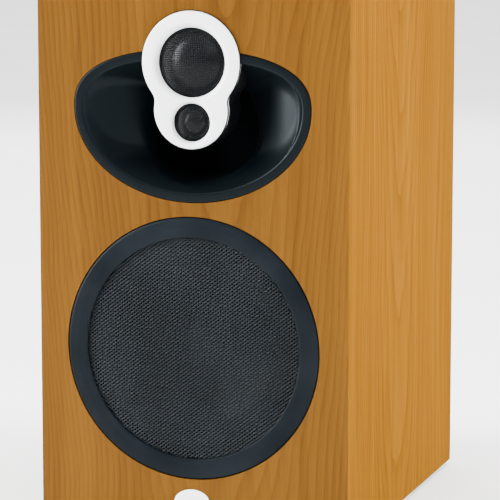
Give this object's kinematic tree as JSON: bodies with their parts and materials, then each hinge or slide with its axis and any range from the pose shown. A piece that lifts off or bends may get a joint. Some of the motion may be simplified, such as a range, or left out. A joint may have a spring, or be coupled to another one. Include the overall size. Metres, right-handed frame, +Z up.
{
  "type": "bookshelf speaker",
  "caption": "Wood-veneered bookshelf loudspeaker with a round mesh-covered woofer, a wide oval horn bowl and a small silver pod that holds the midrange and tweeter domes.",
  "frame": {"origin": "on the surface that the feet stand on, under the middle of the whole object", "axes": "+Z up, the front faces -Y, +X is to the right of someone looking at the front"},
  "size_m": [0.203, 0.2676, 0.368],
  "materials": {
    "cherry_veneer": "clear satin lacquer over vertical-grain cherry",
    "bare_board": "unfinished fibreboard",
    "foot_rubber": "matt black",
    "badge_silver": "satin",
    "trim_paint": "fine matt charcoal",
    "grille_wire": "satin black woven wire",
    "cast_frame": "black powder coat",
    "plain_steel": "zinc plated",
    "ferrite": "matt dark grey",
    "cone_paper": "coated black pulp",
    "surround_rubber": "soft matt black",
    "spider_cloth": "resin-dipped woven cloth",
    "dome_silk": "doped silk",
    "former_film": "polyimide film",
    "copper_wire": "enamelled copper",
    "bowl_gloss": "semi-gloss black moulding",
    "pod_silver": "satin silver-white",
    "black_moulding": "fine black texture",
    "black_knob": "gloss black",
    "red_knob": "gloss red",
    "gold_plate": "gold plated",
    "circuit_board": "green solder mask",
    "capacitor_film": "wrapped film",
    "resistor_ceramic": "white cement",
    "lead_sleeve": "dark insulation",
    "damping_foam": "grey open-cell foam"
  },
  "bodies": {
    "root": {"front_baffle": "cherry_veneer", "rear_panel": "cherry_veneer", "left_side_panel": "cherry_veneer", "right_side_panel": "cherry_veneer", "bottom_panel": "cherry_veneer", "top_panel": "cherry_veneer", "window_brace": "bare_board", "foot_front_left": "foot_rubber", "foot_front_right": "foot_rubber", "foot_rear_left": "foot_rubber", "foot_rear_right": "foot_rubber", "badge": "badge_silver", "mid_guard": "grille_wire", "tweeter_guard": "grille_wire", "woofer_basket": "cast_frame", "mid_motor": "cast_frame", "tweeter_motor": "cast_frame", "woofer_top_plate": "plain_steel", "woofer_pole_piece": "plain_steel", "woofer_screw_1": "plain_steel", "woofer_screw_2": "plain_steel", "woofer_screw_3": "plain_steel", "woofer_screw_4": "plain_steel", "pod_bracket": "plain_steel", "woofer_magnet": "ferrite", "woofer_surround": "surround_rubber", "woofer_spider": "spider_cloth", "mid_surround": "dome_silk", "tweeter_surround": "dome_silk", "woofer_inductor": "copper_wire", "midrange_inductor": "copper_wire", "waveguide": "bowl_gloss", "pod_faceplate": "pod_silver", "pod_rear_housing": "black_moulding", "port_tube": "black_moulding", "terminal_cup": "black_moulding", "negative_post_stud": "gold_plate", "positive_post_stud": "gold_plate", "crossover_board": "circuit_board", "woofer_capacitor": "capacitor_film", "tweeter_capacitor": "capacitor_film", "resistor": "resistor_ceramic", "woofer_lead": "lead_sleeve", "pod_lead": "lead_sleeve", "damping_pad": "damping_foam"},
    "grille": {"grille_trim_ring": "trim_paint", "grille_mesh": "grille_wire", "grille_clamp_ring": "cast_frame"},
    "woofer_motion": {"woofer_cone": "cone_paper", "woofer_dust_cap": "cone_paper", "woofer_coil_former": "former_film", "woofer_coil_winding": "copper_wire"},
    "mid_motion": {"mid_dome": "dome_silk", "mid_voice_coil": "copper_wire"},
    "tweeter_motion": {"tweeter_dome": "dome_silk", "tweeter_voice_coil": "copper_wire"},
    "negative_washer": {"negative_post_washer": "gold_plate"},
    "negative_knob": {"negative_post_knob": "black_knob"},
    "positive_washer": {"positive_post_washer": "gold_plate"},
    "positive_knob": {"positive_post_knob": "red_knob"}
  },
  "joints": [
    {"name": "grille_pull", "type": "slide", "parent": "root", "child": "grille", "axis": [0, -1, 0], "range_m": [0, 0.03]},
    {"name": "woofer_travel", "type": "slide", "parent": "root", "child": "woofer_motion", "axis": [0, -1, 0], "range_m": [-0.005, 0.005], "stiffness_N_per_m": 1200, "deforming": ["woofer_surround", "woofer_spider"]},
    {"name": "mid_travel", "type": "slide", "parent": "root", "child": "mid_motion", "axis": [0, -1, 0], "range_m": [-0.0006, 0.0006], "stiffness_N_per_m": 2500, "deforming": ["mid_surround"]},
    {"name": "tweeter_travel", "type": "slide", "parent": "root", "child": "tweeter_motion", "axis": [0, -1, 0], "range_m": [-0.0003, 0.0003], "stiffness_N_per_m": 2500, "deforming": ["tweeter_surround"]},
    {"name": "negative_washer_slide", "type": "slide", "parent": "root", "child": "negative_washer", "axis": [0, 1, 0], "range_m": [0, 0.004]},
    {"name": "negative_knob_turn", "type": "hinge", "parent": "negative_washer", "child": "negative_knob", "pos_m": [0.018, 0.12575, 0.087], "axis": [0, 1, 0], "range_deg": [0, 1800]},
    {"name": "positive_washer_slide", "type": "slide", "parent": "root", "child": "positive_washer", "axis": [0, 1, 0], "range_m": [0, 0.004]},
    {"name": "positive_knob_turn", "type": "hinge", "parent": "positive_washer", "child": "positive_knob", "pos_m": [-0.018, 0.12575, 0.087], "axis": [0, 1, 0], "range_deg": [0, 1800]}
  ],
  "couplings": [
    {"joint": "negative_washer_slide", "follows": "negative_knob_turn", "m_per_rad": 0.00012732},
    {"joint": "positive_washer_slide", "follows": "positive_knob_turn", "m_per_rad": 0.00012732}
  ]
}
